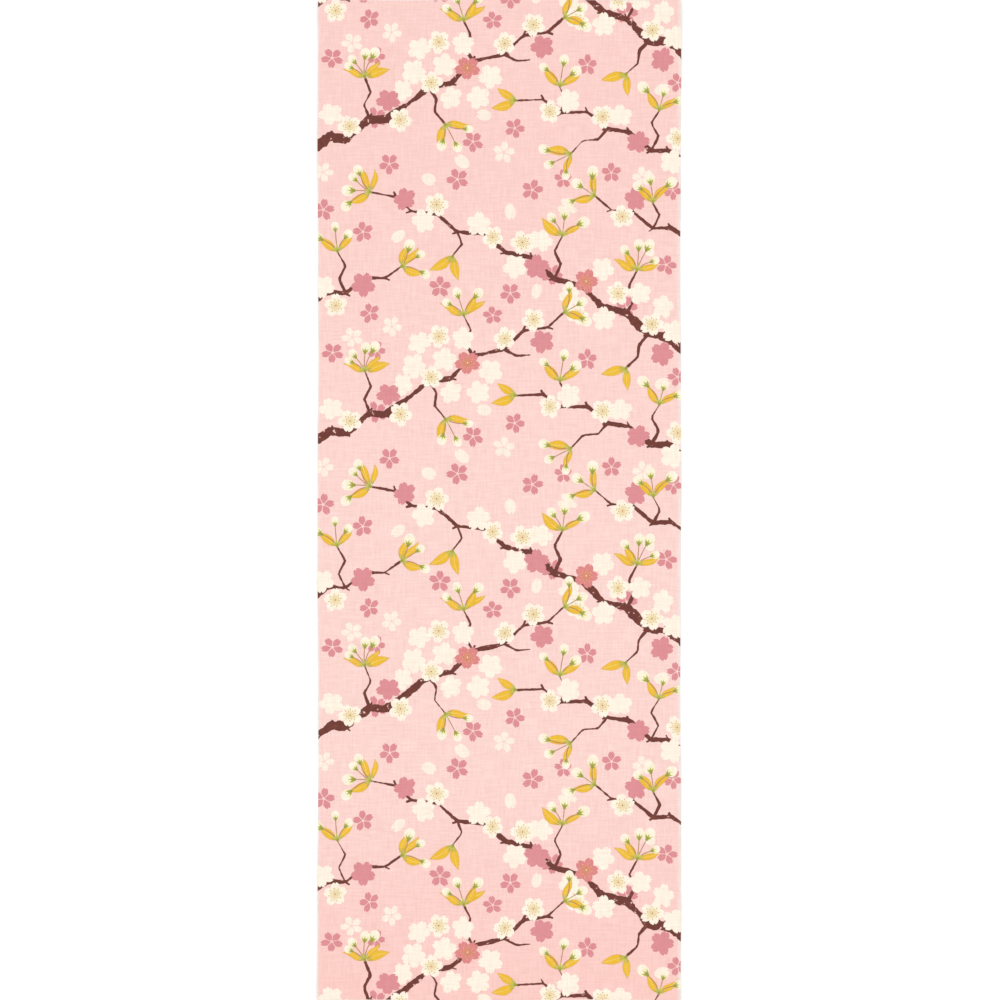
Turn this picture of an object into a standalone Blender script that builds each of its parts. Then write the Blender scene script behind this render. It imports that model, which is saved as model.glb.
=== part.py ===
"""Tenugui hand towel: one cut length of plain-weave cotton, laid out flat and face up on a table.

The whole towel is one sheet of cloth. Its two long sides are woven selvedges and its two short
ends are cut and left unhemmed. The cloth lies flat, apart from a few low ripples where it stands
off the table, a faint wave along the selvedges and four corners that lift a little.

Metres, +Z up. The origin is on the table, under the middle of the towel. +Y runs along the towel,
from its lower end to its upper end, and +X runs across it.
"""

import math

import bpy

# Driving sizes
CLOTH_WIDTH = 0.330
CLOTH_LENGTH = 0.910
CLOTH_THICKNESS = 0.001

# How finely the sheet is divided, across and along
CELLS_ACROSS = 24
CELLS_ALONG = 58

# Colour and finish of the dyed cotton
GROUND_PINK = (0.955, 0.585, 0.545, 1.0)
COTTON_ROUGHNESS = 0.9

# The selvedges and the cut ends stray this far from a straight line
SELVEDGE_STRAY = 0.0004
CUT_END_STRAY = 0.0006
STRAY_WAVES_ALONG = 2.5
STRAY_WAVES_ACROSS = 1.5

# The faint standing wave along each selvedge: height, length of a wave, and how far in it reaches
SELVEDGE_WAVE_HEIGHT = 0.0006
SELVEDGE_WAVE_LENGTH = 0.130
SELVEDGE_WAVE_REACH = 0.022

# Low ripples. Columns: x and y of the middle, turn of the ridge from +X in degrees,
# half length, half width, height
RIPPLES = (
    (-0.070, 0.345, 14.0, 0.150, 0.046, 0.0012),
    (0.060, 0.215, -9.0, 0.160, 0.042, 0.0009),
    (-0.050, -0.115, 6.0, 0.170, 0.044, 0.0008),
    (0.065, -0.250, -13.0, 0.140, 0.046, 0.0011),
    (-0.060, -0.365, 10.0, 0.150, 0.048, 0.0012),
)

# Lifted corners. Columns: side across, side along, reach from the corner, height
CORNER_LIFTS = (
    (-1, -1, 0.080, 0.0022),
    (1, -1, 0.062, 0.0014),
    (-1, 1, 0.058, 0.0012),
    (1, 1, 0.085, 0.0024),
)


def soft_bump(share):
    """1 in the middle, falling to 0 with a level foot where share reaches 1 either way."""
    if abs(share) >= 1.0:
        return 0.0
    return math.cos(share * math.pi / 2) ** 2


def ripple_height(x, y):
    """The sum of the low ripples, each a soft ridge along a turned line."""
    total = 0.0
    for middle_x, middle_y, turn_deg, half_length, half_width, height in RIPPLES:
        turn = math.radians(turn_deg)
        away_x = x - middle_x
        away_y = y - middle_y
        along = away_x * math.cos(turn) + away_y * math.sin(turn)
        across = away_y * math.cos(turn) - away_x * math.sin(turn)
        total += height * soft_bump(along / half_length) * soft_bump(across / half_width)
    return total


def corner_height(x, y):
    """The lift of the four corners, steepest at the corner's tip."""
    total = 0.0
    for side_x, side_y, reach, height in CORNER_LIFTS:
        away_x = x - side_x * CLOTH_WIDTH / 2
        away_y = y - side_y * CLOTH_LENGTH / 2
        near = max(0.0, 1.0 - math.hypot(away_x, away_y) / reach)
        total += height * near * near
    return total


def selvedge_height(x, y):
    """The standing wave along each selvedge, never below the table, dying out inwards."""
    inwards = CLOTH_WIDTH / 2 - abs(x)
    near = max(0.0, 1.0 - inwards / SELVEDGE_WAVE_REACH)
    side_phase = math.copysign(math.pi / 3, x)
    wave = math.sin(2 * math.pi * y / SELVEDGE_WAVE_LENGTH + side_phase)
    return SELVEDGE_WAVE_HEIGHT * near * near * max(0.0, wave)


def laid_point(x, y):
    """Where a point of the flat cut length comes to lie: edges strayed and surface raised."""
    share_x = 2 * x / CLOTH_WIDTH
    share_y = 2 * y / CLOTH_LENGTH
    stray_x = SELVEDGE_STRAY * share_x**2 * math.sin(math.pi * STRAY_WAVES_ALONG * share_y + share_x)
    stray_y = CUT_END_STRAY * share_y**2 * math.sin(math.pi * STRAY_WAVES_ACROSS * share_x + share_y)
    height = ripple_height(x, y) + corner_height(x, y) + selvedge_height(x, y)
    return x + stray_x, y + stray_y, height


def clear_scene():
    """Removes every object, so that the file starts from an empty scene."""
    for old in list(bpy.data.objects):
        bpy.data.objects.remove(old, do_unlink=True)


def cotton_material():
    """Matt dyed cotton, in the colour of the towel's ground."""
    material = bpy.data.materials.new("printed_cotton")
    material.use_nodes = True
    shader = material.node_tree.nodes["Principled BSDF"]
    shader.inputs["Base Color"].default_value = GROUND_PINK
    shader.inputs["Roughness"].default_value = COTTON_ROUGHNESS
    shader.inputs["Metallic"].default_value = 0.0
    return material


def make_towel(collection):
    """The sheet: a grid of the cut size, laid on the table and thickened upwards."""
    bpy.ops.mesh.primitive_grid_add(
        x_subdivisions=CELLS_ACROSS,
        y_subdivisions=CELLS_ALONG,
        size=1.0,
        location=(0.0, 0.0, 0.0),
    )
    towel = bpy.context.object
    towel.name = "towel"
    for vertex in towel.data.vertices:
        vertex.co = laid_point(vertex.co.x * CLOTH_WIDTH, vertex.co.y * CLOTH_LENGTH)

    thickness = towel.modifiers.new("cloth_thickness", "SOLIDIFY")
    thickness.thickness = CLOTH_THICKNESS
    thickness.offset = 1.0

    towel.data.materials.append(cotton_material())
    towel.data.shade_smooth()
    towel.data.set_sharp_from_angle(angle=math.radians(40))
    for holder in list(towel.users_collection):
        holder.objects.unlink(towel)
    collection.objects.link(towel)
    return towel


def main():
    clear_scene()
    tenugui = bpy.data.collections.new("tenugui_towel")
    bpy.context.scene.collection.children.link(tenugui)
    make_towel(tenugui)


main()
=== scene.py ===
"""Tenugui towel: the looks of one printed length of plain-weave cotton, laid out flat and face up.

The cloth is a thin closed sheet of small square tiles on the low ripples of the CAD solid. Its print
is drawn by the material: each tile knows which motifs touch it and where its corners lie on them,
and the shader works out each motif's outline from a formula. The short ends are cut and left raw,
with the stubs of the warp yarns standing out of them. Metres, +Z up, +Y along the towel.
"""

import math

import bpy
import numpy as np
from bpy.props import FloatProperty, FloatVectorProperty, PointerProperty
from bpy.types import NodeSocket, Operator, Panel, PropertyGroup
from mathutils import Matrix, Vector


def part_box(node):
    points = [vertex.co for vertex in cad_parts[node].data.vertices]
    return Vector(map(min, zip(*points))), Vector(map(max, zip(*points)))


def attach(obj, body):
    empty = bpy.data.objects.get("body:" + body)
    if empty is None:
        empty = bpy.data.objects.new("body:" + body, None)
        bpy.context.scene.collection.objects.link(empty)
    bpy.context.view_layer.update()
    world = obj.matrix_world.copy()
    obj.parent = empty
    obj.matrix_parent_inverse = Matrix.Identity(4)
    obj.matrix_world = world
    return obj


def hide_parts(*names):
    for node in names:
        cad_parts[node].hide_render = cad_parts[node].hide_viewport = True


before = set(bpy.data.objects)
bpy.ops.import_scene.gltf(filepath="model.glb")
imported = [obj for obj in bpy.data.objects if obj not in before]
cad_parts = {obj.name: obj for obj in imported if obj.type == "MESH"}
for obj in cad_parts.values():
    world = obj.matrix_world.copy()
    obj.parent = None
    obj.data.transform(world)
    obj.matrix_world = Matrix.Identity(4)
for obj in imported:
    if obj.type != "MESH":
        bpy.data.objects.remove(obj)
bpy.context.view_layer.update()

bl_info = {
    "name": "Tenugui towel",
    "version": (1, 0, 0),
    "blender": (4, 5, 0),
    "location": "View3D > Sidebar > Tenugui",
    "description": "Lays out a printed cotton tenugui towel on a plain pale floor",
    "category": "Object",
}

MILLIMETRE = 0.001

# The selvedges and the cut ends stray this far from a straight line, as on the CAD solid
SELVEDGE_STRAY = 0.0004
CUT_END_STRAY = 0.0006
STRAY_WAVES_ALONG = 2.5
STRAY_WAVES_ACROSS = 1.5

# The cut size is the solid's box without the stray of its edges
TOWEL_LOW, TOWEL_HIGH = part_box("towel")
CUT_WIDTH = round(TOWEL_HIGH.x - TOWEL_LOW.x - 2 * SELVEDGE_STRAY, 3)
CUT_LENGTH = round(TOWEL_HIGH.y - TOWEL_LOW.y - 2 * CUT_END_STRAY, 3)

# The faint standing wave along each selvedge: height, length of a wave, and how far in it reaches
SELVEDGE_WAVE_HEIGHT = 0.0006
SELVEDGE_WAVE_LENGTH = 0.130
SELVEDGE_WAVE_REACH = 0.022

# Low ripples. Columns: x and y of the middle, turn of the ridge from +X in degrees,
# half length, half width, height
RIPPLES = (
    (-0.070, 0.345, 14.0, 0.150, 0.046, 0.0012),
    (0.060, 0.215, -9.0, 0.160, 0.042, 0.0009),
    (-0.050, -0.115, 6.0, 0.170, 0.044, 0.0008),
    (0.065, -0.250, -13.0, 0.140, 0.046, 0.0011),
    (-0.060, -0.365, 10.0, 0.150, 0.048, 0.0012),
)

# Lifted corners. Columns: side across, side along, reach from the corner, height
CORNER_LIFTS = (
    (-1, -1, 0.080, 0.0022),
    (1, -1, 0.062, 0.0014),
    (-1, 1, 0.058, 0.0012),
    (1, 1, 0.085, 0.0024),
)

# The cloth's mesh. Edges sharper than the rim's angle stay sharp.
TILES_ACROSS = 110
TILES_ALONG = 303
SELVEDGE_THICKENING = 0.00012
SELVEDGE_BAND = 0.006
RIM_ANGLE_DEG = 40.0

# How far in the bare yarns of each selvedge show, on the left and on the right
BARE_SELVEDGE_REACHES = (0.0016, 0.0040)

# The bake map: a square of two by two cells, three of them for the face.
# A place is on the cloth's outline from this share of its size on, away from the middle.
BAKE_STRIPS = 3
BAKE_CELL = 0.5
BAKE_INSET = 0.004
BAKE_RIM = 0.002
OUTLINE_SHARE = 0.4999

# Stubs of warp yarn at the cut ends. Each is a tube that starts inside the cloth. The shortest stub
# is given as a share of the longest and the lean as a share of the stub's own length. The thinnest
# radius and its spread, and the height at the root and its drop, are shares of the cloth's thickness.
FRAY_RINGS = 4
FRAY_SIDES = 4
FRAY_ROOT = 0.0009
FRAY_SEED = 11
FRAY_SHORTEST = 0.25
FRAY_LEAN = 0.35
FRAY_RADII = (0.30, 0.12)
FRAY_TAPER = 0.55
FRAY_HEIGHTS = (0.55, 0.25)
FRAY_SINKING = 0.3
FRAY_LOWEST = 0.00002

# The print repeats along the towel. All its places are in millimetres, y up from the repeat's foot.
PRINT_REPEAT = 268.0
PRINT_START = -500.0
PRINT_REPEATS = 4
GOLDEN_SHARE = 0.618034

# Boughs and their twigs. Columns: first half width, last half width, route
BOUGHS = (
    (4.2, 1.0, ((-174, 12), (-154, 27), (-140, 25), (-118, 43), (-104, 42), (-84, 56), (-64, 72),
                (-44, 75), (-24, 95), (4, 101), (22, 118), (44, 121), (58, 134))),
    (1.6, 0.9, ((-118, 43), (-123, 56), (-117, 67), (-122, 80))),
    (1.5, 0.8, ((-64, 72), (-57, 61), (-59, 50), (-50, 39))),
    (1.6, 0.8, ((-24, 95), (-31, 107), (-26, 119), (-32, 131))),
    (1.3, 0.7, ((4, 101), (16, 95), (28, 96))),
    (4.3, 0.9, ((174, 96), (153, 113), (136, 115), (116, 134), (94, 140), (76, 158), (50, 165),
                (30, 184), (6, 189), (-14, 206), (-38, 208), (-56, 224), (-80, 227), (-94, 240),
                (-116, 244))),
    (1.6, 0.8, ((116, 134), (123, 147), (118, 159), (125, 172))),
    (1.6, 0.8, ((50, 165), (56, 178), (50, 190), (57, 203))),
    (1.5, 0.8, ((136, 115), (127, 105), (126, 94), (116, 85))),
    (1.3, 0.7, ((-38, 208), (-34, 197), (-42, 187))),
    (2.8, 0.9, ((-174, 140), (-156, 153), (-140, 152), (-122, 166), (-104, 166), (-90, 176))),
    (1.4, 0.7, ((-140, 152), (-146, 165), (-140, 177), (-147, 189))),
    (3.0, 0.9, ((174, 0), (154, 14), (138, 14), (118, 31), (98, 34), (80, 49), (56, 48), (40, 60),
                (16, 59))),
    (1.4, 0.7, ((138, 14), (145, 27), (138, 39), (145, 50))),
    (1.3, 0.7, ((98, 34), (90, 24), (76, 23), (66, 12))),
    (1.3, 0.7, ((56, 48), (61, 60), (55, 71))),
    (2.3, 0.9, ((174, 200), (156, 212), (140, 211), (122, 226), (102, 228), (88, 240))),
    (1.3, 0.7, ((140, 211), (146, 223), (140, 234))),
)

# Sprays at the twigs' ends. Columns: x, y, heading in degrees, buds, headings of the leaves
SPRAYS = (
    (-122, 80, 108, 4, (50, 20, 160)),
    (-50, 39, -58, 3, (-4, -104)),
    (-32, 131, 102, 3, (36, 64, 152)),
    (58, 134, 30, 3, (72, -14)),
    (125, 172, 76, 4, (24, 124, 152)),
    (57, 203, 80, 3, (34, 136)),
    (116, 85, -128, 0, (-88, -164)),
    (-42, 187, -112, 0, (-148, -78)),
    (-116, 244, 160, 4, (116, 204, 84)),
    (-147, 189, 100, 3, (58, 142)),
    (-90, 176, 28, 3, (72, -16, 48)),
    (145, 50, 76, 3, (38, 120)),
    (66, 12, -146, 3, (-104, 176)),
    (16, 59, 170, 0, (148, 196)),
    (55, 71, 84, 3, (40, 130)),
    (140, 234, 92, 3, (50, 134)),
    (88, 240, 146, 3, (102, 188)),
)

# Blossoms by the layer of the print that they lie in and by kind. Columns: x, y, radius
BLOSSOMS = {
    "open": {
        "cream": (
            (-134, 112, 10.5), (-98, 122, 10.0), (4, 12, 10.5), (130, 258, 10.5), (62, 230, 9.5),
            (-160, 262, 10.0)),
        "rose": (
            (-152, 98, 10.5), (-112, 100, 9.0), (-54, 158, 10.5), (-118, 134, 10.0), (10, 152, 10.0),
            (30, 246, 10.5), (58, 256, 9.0), (-38, 256, 10.5), (158, 246, 9.5), (-160, 228, 10.5),
            (-124, 208, 10.0), (-24, 22, 10.5), (14, 34, 9.5), (80, 92, 10.0), (162, 76, 9.5),
            (-100, 2, 10.0), (152, 178, 10.5), (102, 262, 9.5), (-112, 44, 10.5), (48, 169, 10.5),
            (116, 139, 10.5), (-6, 132, 9.5)),
        "petal": (
            (-34, 4, 11.0), (34, 154, 9.5), (148, 70, 10.0), (-64, 256, 10.5), (10, 226, 10.0),
            (-92, 204, 10.0), (-14, 46, 10.0), (136, 192, 9.5)),
    },
    "full": {
        "ivory": (
            (-153, 47, 11.6), (-78, 86, 12.0), (-50, 92, 11.6), (-44, 62, 11.2), (-8, 81, 11.6),
            (-73, 107, 11.2), (-33, 111, 11.2), (-19, 62, 11.2), (-88, 69, 10.8), (159, 117, 11.6),
            (95, 129, 11.6), (64, 149, 11.2), (94, 174, 11.2), (149, 140, 11.2), (128, 152, 11.2),
            (14, 176, 11.6), (38, 200, 11.6), (-19, 215, 11.6), (-69, 218, 11.6), (-161, 158, 11.6),
            (157, 4, 11.6), (110, 46, 11.6), (63, 59, 11.6)),
        "rose": (
            (-101, 60, 11.6), (148, 97, 11.6), (34, 176, 12.0), (-86, 238, 11.2), (-124, 160, 11.6),
            (126, 22, 11.2), (124, 238, 11.2), (39, 108, 11.2)),
    },
    "stamened": {
        "white": (
            (-136, 36, 11.6), (-90, 42, 11.6), (-62, 76, 11.2), (5, 111, 11.6), (31, 128, 11.2),
            (139, 124, 11.6), (108, 152, 11.6), (21, 198, 11.6), (-6, 203, 11.2), (-57, 233, 11.6),
            (-149, 141, 11.2), (162, 25, 11.6), (94, 45, 11.2), (46, 49, 11.2), (112, 222, 11.6),
            (-55, 113, 11.2), (71, 133, 11.2)),
        "coral": ((-29, 89, 12.0), (79, 163, 11.6)),
    },
}

# How many motifs may lie over each other on one tile, for each layer of the print from the lowest up
LAYER_DEPTHS = {"open": 2, "boughs": 3, "full": 2, "stamened": 1, "leaves": 3, "stalks": 4, "buds": 2}
BUD_KINDS = ("none", "bud", "sheath")

# Blossoms are drawn together by up to a share, each along a line that turns on by a step in degrees
BLOSSOM_SQUASH = 0.14
BLOSSOM_SQUASH_STEP = 77.0

# Boughs thin out by this power of the share along them. Routes of this many points or more have
# spurs, in millimetres. No ragged outline goes past its half width by more than the spread.
TAPER_POWER = 0.8
SPURRED_POINTS = 6
SPUR_LENGTH = 3.6
SPUR_HALF_WIDTHS = (1.4, 0.8)
SPUR_OUT_OF_BOUGH = 0.4
SPUR_FORWARD = 0.5
STROKE_SPREAD = 1.4

# Sizes of a spray's motifs, in millimetres and degrees, and how far they vary
STALK_REACH = 17.0
STALK_REACH_SPREAD = 0.20
STALK_BEND = 0.45
STALK_POINTS = 5
STALK_FAN = 78.0
STALK_TURN_SPREAD = 6.0
STALK_START_FAN = 0.3
STALK_HALF_WIDTH = 0.42
BUD_LENGTH = 11.0
BUD_LENGTH_SPREAD = 0.18
SHEATH_LENGTH = 8.6
LEAF_LENGTH = 22.0
LEAF_LENGTH_SPREAD = 0.12
LEAF_BEND_SPREAD = 0.09
LEAF_SWAY = 0.035
LEAF_FOOT = 1.6

# Each motif's reach in its own coordinates: lowest and highest along it, then across it
BLOSSOM_BOX = (-1.0, 1.0, -1.0, 1.0)
LEAF_BOX = (0.0, 1.0, -0.22, 0.22)
BUD_BOX = (-0.12, 1.0, -0.42, 0.42)
SHEATH_BOX = (-0.2, 1.0, -0.55, 0.55)

# Over what distance an outline fades, as a share of the motif's size, and in millimetres on a
# stroke. Below, a fade is that of one tone, and a strength is how much of the tone shows at most.
EDGE_FADE = 0.035
FINE_FADE = 0.02
BOUGH_FADE = 0.3
STALK_FADE = 0.35
LEAST_HALF_WIDTH = 0.1

# Shape of a blossom, as shares of its radius
PETALS = 5
PETAL_MIDDLE = 0.56
PETAL_HALF_LENGTH = 0.44
PETAL_DEPTH = 0.4
OPEN_PETAL_HALF_WIDTH = 0.305
FULL_PETAL_HALF_WIDTH = 0.385
LOOSE_PETAL_SHRINK = 0.6
NOTCH_DEPTH = 0.15
NOTCH_HALF_WIDTH = 0.085
PETAL_GAP = 0.040
BLOSSOM_CORE = 0.52
STAMENS = 16
STAMEN_REACH = 0.44
STAMEN_REACH_CHANGE = 0.095
STAMEN_LEAN = 0.060
STAMEN_DOT = 0.040
FILAMENT_HALF_WIDTH = 0.013
FILAMENT_START = 0.10
HALO_REACH = 0.44
CORAL_HALO_LESS = 0.18
HALO_FADE = 0.50
HALO_STRENGTH = 0.6
FILAMENT_STRENGTH = 0.6
HEART_REACH = 0.060
HEART_FADE = 0.03

# Boughs: fineness of their noises, how much they swell and fray, from what half width on they have
# openings, and from what level of the grain on these and the flecks show
SWELL_FINENESS = 45.0
RAGGED_FINENESS = 210.0
GRAIN_FINENESS = 230.0
BOUGH_SWELL = 1.5
RAGGED_SHARE = 0.9
RAGGED_LEAST = 0.45
OPENING_HALF_WIDTH = 1.8
OPENING_WIDTH_FADE = 1.0
OPENING_LEVEL = 0.17
OPENING_STRENGTH = 0.85
FLECK_LEVEL = 0.05
FLECK_FADE = 0.15
FLECK_STRENGTH = 0.30

# Shape of a leaf, as shares of its length
LEAF_FULLNESS = 0.95
LEAF_TAPERING = 0.40
NARROW_LEAF_LESS = 0.22
LEAF_TEETH = 15.0
TOOTH_DEPTH = 0.014
LEAF_RIM_DEPTH = 0.020
LEAF_RIM_STRENGTH = 0.55
LEAF_GREEN_REACH = 0.16
LEAF_GREEN_FADE = 0.2
VEIN_ANGLES_PER_LENGTH = 44.0
VEIN_SLANT = 0.9
VEIN_LEVEL = 0.75
VEIN_FADE = 0.6
VEIN_STRENGTH = 0.35
MIDRIB_HALF_WIDTH = 0.010
MIDRIB_END = 0.86
MIDRIB_STRENGTH = 0.8

# Shape of a bud, as shares of its length. A sheath is a calyx of its own size.
BUD_MIDDLE = 0.55
BUD_HALF_LENGTH = 0.45
BUD_HALF_WIDTH = 0.40
BUD_FADE = 0.09
BUD_FLUSH_REACH = 0.62
BUD_FLUSH_FADE = 0.5
BUD_FLUSH_STRENGTH = 0.5
CALYX_FOOT = 0.10
CALYX_STEP = math.radians(38)
CALYX_FAN_STEPS = 1.75
CALYX_FAN_DEPTH = 0.3
CALYX_FADE = 0.04
BUD_CALYX = {"tip": 0.46, "slope": 0.29, "knob": 0.12}
SHEATH_CALYX = {"tip": 0.92, "slope": 0.23, "knob": 0.15}
CALYX_DARK_REACH = 0.25
CALYX_DARK_FADE = 0.3

# How the ground deepens, by the share of the half length: upwards from the middle, and downwards
# from a place in the lower half
UPPER_SLOPE = 1.5
UPPER_DEPTH = 0.45
LOWER_SLOPE = 2.5
LOWER_START = 1.4

# Plain weave: fineness of the yarns' noise and of the longer streaks, and the weights in the height
YARN_FINENESS = 0.8
STREAK_FINENESS = 0.33
STREAK_SLOWNESS = 0.5
STREAK_WEIGHT = 1.6
CROSSING_HEIGHT = 0.35
RIDGE_HEIGHT = 0.5
SLUB_HEIGHT = 0.8
SELVEDGE_HEIGHT = 0.3
SLUB_LENGTH = 0.009
BUMP_DISTANCE = 0.00008
BUMP_STRENGTH = 0.6

# How much of the yarns' unevenness each of red, green and blue takes
SLUB_TINT = (0.55, 1.0, 1.25)

# How much of the print shows through on the back
BACK_SHARE = 0.38

# Bare yarn: pitch and length of its fibres, how much they show, and which of them are pale
FIBRE_PITCH = 0.00015
FIBRE_LENGTH = 0.0006
FIBRE_SHARE = 0.2
PALE_FIBRE_LEVEL = -0.1
PALE_FIBRE_FADE = 0.6
PALE_FIBRE_STRENGTH = 0.5

# How rough the cotton is, and how much its yarns' tone changes that
CLOTH_ROUGHNESS = 0.88
RAW_YARN_ROUGHNESS = 0.9
ROUGHNESS_CHANGE = 0.1

# The stage
FLOOR_SIDE = 30.0
FLOOR_DROP = 0.0002
CAMERA_ASIDE = 0.0006
LIGHT_SIDE = 1.6
LIGHT_BEYOND = 1.2
LIGHT_HEIGHT = 2.6
WHITE = (1.0, 1.0, 1.0, 1.0)


def screen_colour(red, green, blue):
    """A colour given as on a screen, 0 to 255, as the linear values that Blender works in."""
    shares = np.array((red, green, blue)) / 255
    linear = np.where(shares > 0.04045, ((shares + 0.055) / 1.055) ** 2.4, shares / 12.92)
    return tuple(float(value) for value in linear)


# Second tones of the print and of the cloth
HALO_ON_WHITE = screen_colour(246, 222, 150)
HALO_ON_CORAL = screen_colour(186, 110, 58)
STAMENS_ON_WHITE = screen_colour(184, 148, 84)
STAMENS_ON_CORAL = screen_colour(240, 182, 110)
HEART_OF_WHITE = screen_colour(190, 104, 84)
HEART_OF_CORAL = screen_colour(250, 230, 196)
PALE_BARK = screen_colour(146, 80, 62)
STALK_MIDDLE = screen_colour(180, 126, 96)
DEEP_GOLD = screen_colour(226, 164, 40)
PALE_GOLD = screen_colour(246, 216, 140)
LEAF_RIM = screen_colour(204, 152, 66)
BUD_FLUSH = screen_colour(242, 236, 180)
PALE_GREEN = screen_colour(196, 192, 90)
BARE_SELVEDGE = screen_colour(241, 229, 223)


def ink_property(name, description, red, green, blue):
    """A colour property for one ink, its default given as on a screen."""
    return FloatVectorProperty(
        name=name, description=description, subtype="COLOR", size=3, min=0.0, max=1.0,
        default=screen_colour(red, green, blue))


class TenuguiCloth(PropertyGroup):
    """The cloth's sizes and its yarns"""

    width: FloatProperty(
        name="Width", description="Width of the bolt, selvedge to selvedge",
        default=CUT_WIDTH, unit="LENGTH")
    length: FloatProperty(
        name="Length", description="Length of the cut piece",
        default=CUT_LENGTH, unit="LENGTH")
    thickness: FloatProperty(
        name="Thickness", description="Thickness of the cotton cloth",
        default=0.00035, unit="LENGTH")
    yarn_pitch: FloatProperty(
        name="Yarn pitch", description="Distance from one yarn to the next, in warp and weft",
        default=0.00060, unit="LENGTH", precision=5)
    slub: FloatProperty(
        name="Slub", description="How much the yarns' uneven thickness shows in the colour",
        default=0.120, subtype="FACTOR")
    fray_length: FloatProperty(
        name="Fray", description="How far the longest warp yarns stand out of a cut end",
        default=0.0016, unit="LENGTH", precision=5)


class TenuguiInks(PropertyGroup):
    """The dye and the inks of the print"""

    ground: ink_property("Ground", "The dyed cotton between the motifs", 249, 212, 205)
    deep_ground: ink_property("Deep ground", "The ground's tone at the towel's lower end", 249, 203, 195)
    cream: ink_property("Cream", "Open blossoms and loose petals", 251, 237, 221)
    ivory: ink_property("Ivory", "Full pale blossoms", 252, 240, 223)
    white: ink_property("White", "Buds and the blossoms that show their stamens", 252, 242, 224)
    rose: ink_property("Rose", "Full and open dusty-rose blossoms", 221, 143, 147)
    coral: ink_property("Coral", "The few deeper blossoms", 221, 136, 134)
    gold: ink_property("Gold", "Leaves", 238, 190, 56)
    green: ink_property("Green", "Calyxes, sheaths and the feet of leaves", 157, 156, 66)
    olive: ink_property("Olive", "Ends of the stalks", 178, 150, 90)
    brown: ink_property("Brown", "Boughs and twigs", 109, 58, 50)


class TenuguiStage(PropertyGroup):
    """The camera and the lights"""

    lens: FloatProperty(
        name="Lens", description="Focal length of the camera above the towel",
        default=100.0, unit="CAMERA")
    frame_side: FloatProperty(
        name="Frame", description="Side of the square that the camera sees on the towel",
        default=0.910, unit="LENGTH")
    sky: FloatProperty(
        name="Room light", description="Strength of the even light from all around",
        default=0.75)
    key: FloatProperty(
        name="Key light", description="Power of the soft light beyond the towel's upper end",
        default=14.5, unit="POWER")
    fill: FloatProperty(
        name="Fill light", description="Power of the soft light beyond its lower end",
        default=14.5, unit="POWER")


# Shape of the laid cloth

def soft_bump(share):
    """cos(90 degrees times share) squared inside plus or minus 1, and 0 outside."""
    return np.where(np.abs(share) < 1, np.cos(share * np.pi / 2) ** 2, 0.0)


def ripple_height(x, y):
    """Sum of the ripples: height times soft_bump along times soft_bump across, in each ridge's turn."""
    total = np.zeros_like(x)
    for middle_x, middle_y, turn_deg, half_length, half_width, height in RIPPLES:
        along, across = turned(x - middle_x, y - middle_y, turn_deg)
        total += height * soft_bump(along / half_length) * soft_bump(across / half_width)
    return total


def corner_height(x, y):
    """Sum of the corner lifts: height times (1 - distance from the corner / reach) squared."""
    total = np.zeros_like(x)
    for side_x, side_y, reach, height in CORNER_LIFTS:
        away = np.hypot(x - side_x * CUT_WIDTH / 2, y - side_y * CUT_LENGTH / 2)
        total += height * np.maximum(0.0, 1.0 - away / reach) ** 2
    return total


def selvedge_nearness(x, reach):
    """1 at a selvedge, falling to 0 at reach inwards from it."""
    return np.maximum(0.0, 1.0 - (CUT_WIDTH / 2 - np.abs(x)) / reach)


def selvedge_height(x, y):
    """The upper half of a sine wave along each selvedge, dying out inwards as nearness squared."""
    wave = np.sin(2 * np.pi * y / SELVEDGE_WAVE_LENGTH + np.copysign(np.pi / 3, x))
    return SELVEDGE_WAVE_HEIGHT * selvedge_nearness(x, SELVEDGE_WAVE_REACH) ** 2 * np.maximum(0.0, wave)


def laid_points(x, y):
    """Where points of the flat cut lie on the table: the edges stray by slow sines of the other
    direction's share, and the height is the sum of ripples, corner lifts and selvedge waves."""
    share_x = 2 * x / CUT_WIDTH
    share_y = 2 * y / CUT_LENGTH
    stray_x = SELVEDGE_STRAY * share_x**2 * np.sin(np.pi * STRAY_WAVES_ALONG * share_y + share_x)
    stray_y = CUT_END_STRAY * share_y**2 * np.sin(np.pi * STRAY_WAVES_ACROSS * share_x + share_y)
    height = ripple_height(x, y) + corner_height(x, y) + selvedge_height(x, y)
    return np.stack((x + stray_x, y + stray_y, height), axis=-1)


def turned(first, second, angle_deg):
    """Coordinates in axes that are turned by an angle, counterclockwise."""
    cosine = math.cos(math.radians(angle_deg))
    sine = math.sin(math.radians(angle_deg))
    return first * cosine + second * sine, second * cosine - first * sine


# The print's layout

class Tiles:
    """The cloth's flat grid in millimetres: corner lines across and along, and windows into them."""

    def __init__(self, width, length):
        self.x = np.linspace(-width / 2, width / 2, TILES_ACROSS + 1) / MILLIMETRE
        self.y = np.linspace(-length / 2, length / 2, TILES_ALONG + 1) / MILLIMETRE
        self.half_diagonal = math.hypot(self.x[1] - self.x[0], self.y[1] - self.y[0]) / 2

    def window(self, low, high):
        """Slices of the rows and columns of tiles that a box touches, and x and y of their corners.
        A box beside the cloth touches none, and gives None."""
        first_column, last_column = np.searchsorted(self.x, (low[0], high[0]))
        first_row, last_row = np.searchsorted(self.y, (low[1], high[1]))
        columns = slice(max(first_column - 1, 0), min(last_column, TILES_ACROSS))
        rows = slice(max(first_row - 1, 0), min(last_row, TILES_ALONG))
        if rows.start >= rows.stop or columns.start >= columns.stop:
            return None
        corner_x, corner_y = np.meshgrid(
            self.x[columns.start : columns.stop + 1], self.y[rows.start : rows.stop + 1])
        return rows, columns, corner_x, corner_y


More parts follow.
